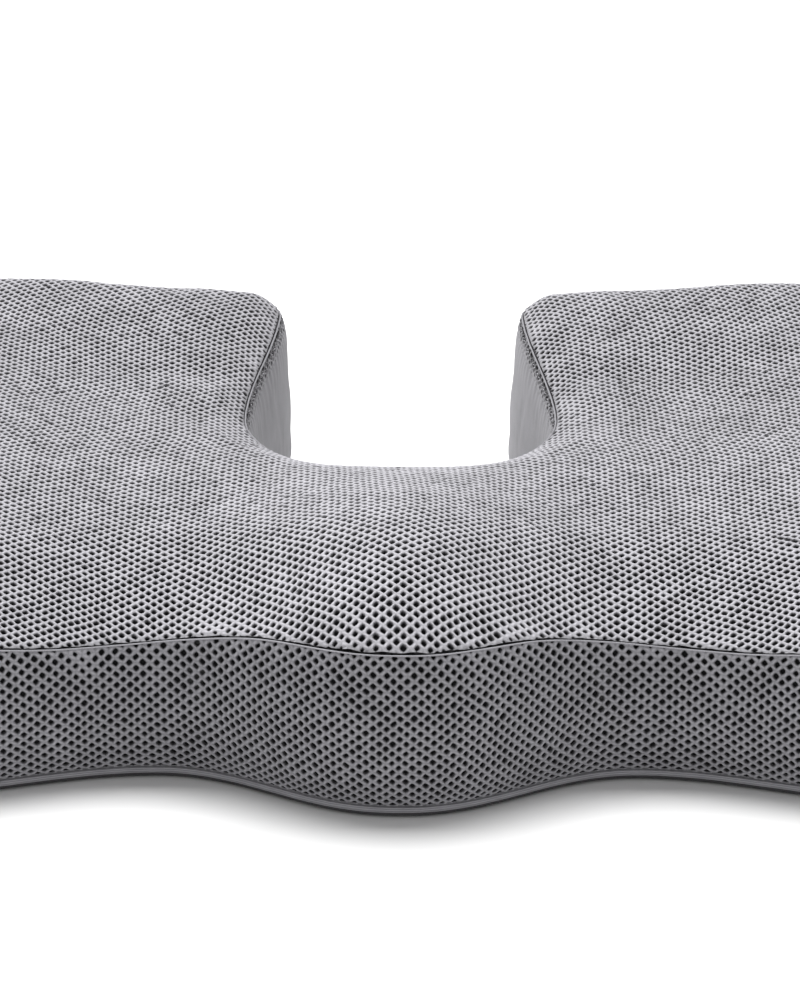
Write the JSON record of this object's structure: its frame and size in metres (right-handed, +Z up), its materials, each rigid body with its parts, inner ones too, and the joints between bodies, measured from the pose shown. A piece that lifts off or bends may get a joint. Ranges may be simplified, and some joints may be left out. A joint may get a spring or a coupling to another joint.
{
  "type": "contoured coccyx seat cushion",
  "caption": "Contoured foam seat cushion with a U-shaped coccyx cut-out, a raised nose between two thigh hollows and a zipped mesh cover.",
  "frame": {"origin": "middle of the cushion's footprint, at the height of the surface it rests on", "axes": "+X is the sitter's left-right width, with the zip in the +X flank; -Y is the front edge with the nose; +Y is the open end of the cut-out; +Z is up"},
  "size_m": [0.4517, 0.356, 0.0887],
  "materials": {
    "foam": "matt open-cell foam",
    "inner_sock": "matt thin knit",
    "air_mesh": "matt knitted spacer mesh",
    "lining": "matt fine knit",
    "anti_slip": "matt woven cloth with raised grip dots",
    "binding": "matt woven tape",
    "zip_tape": "matt herringbone tape",
    "zip_coil": "satin nylon",
    "zip_metal": "satin lacquer",
    "label": "satin woven label, blank"
  },
  "bodies": {
    "cushion": {"foam_core": "foam", "inner_sock_top": "inner_sock", "inner_sock_base": "inner_sock", "cover_top_panel": "air_mesh", "cover_boxing_front": "air_mesh", "cover_boxing_left": "air_mesh", "cover_boxing_right": "air_mesh", "cover_cutout_wall": "lining", "cover_base_panel": "anti_slip", "base_edge_binding": "binding", "zip_tape_upper": "zip_tape", "zip_tape_lower": "zip_tape", "zip_coil_upper": "zip_coil", "zip_coil_lower": "zip_coil", "zip_top_stop_upper": "zip_metal", "zip_top_stop_lower": "zip_metal", "zip_bottom_stop": "zip_metal", "zip_end_cover_front": "air_mesh", "zip_end_cover_rear": "air_mesh", "care_label": "label"},
    "zip_slider": {"zip_slider_body": "zip_metal"},
    "zip_pull": {"zip_pull_tab": "zip_metal"}
  },
  "joints": [
    {"name": "zip_slide", "type": "slide", "parent": "cushion", "child": "zip_slider", "axis": [0, -1, 0], "range_m": [0, 0.168]},
    {"name": "pull_hinge", "type": "hinge", "parent": "zip_slider", "child": "zip_pull", "pos_m": [0.22495, 0.0872, 0.013], "axis": [0, 0, -1], "range_deg": [0, 180]}
  ]
}
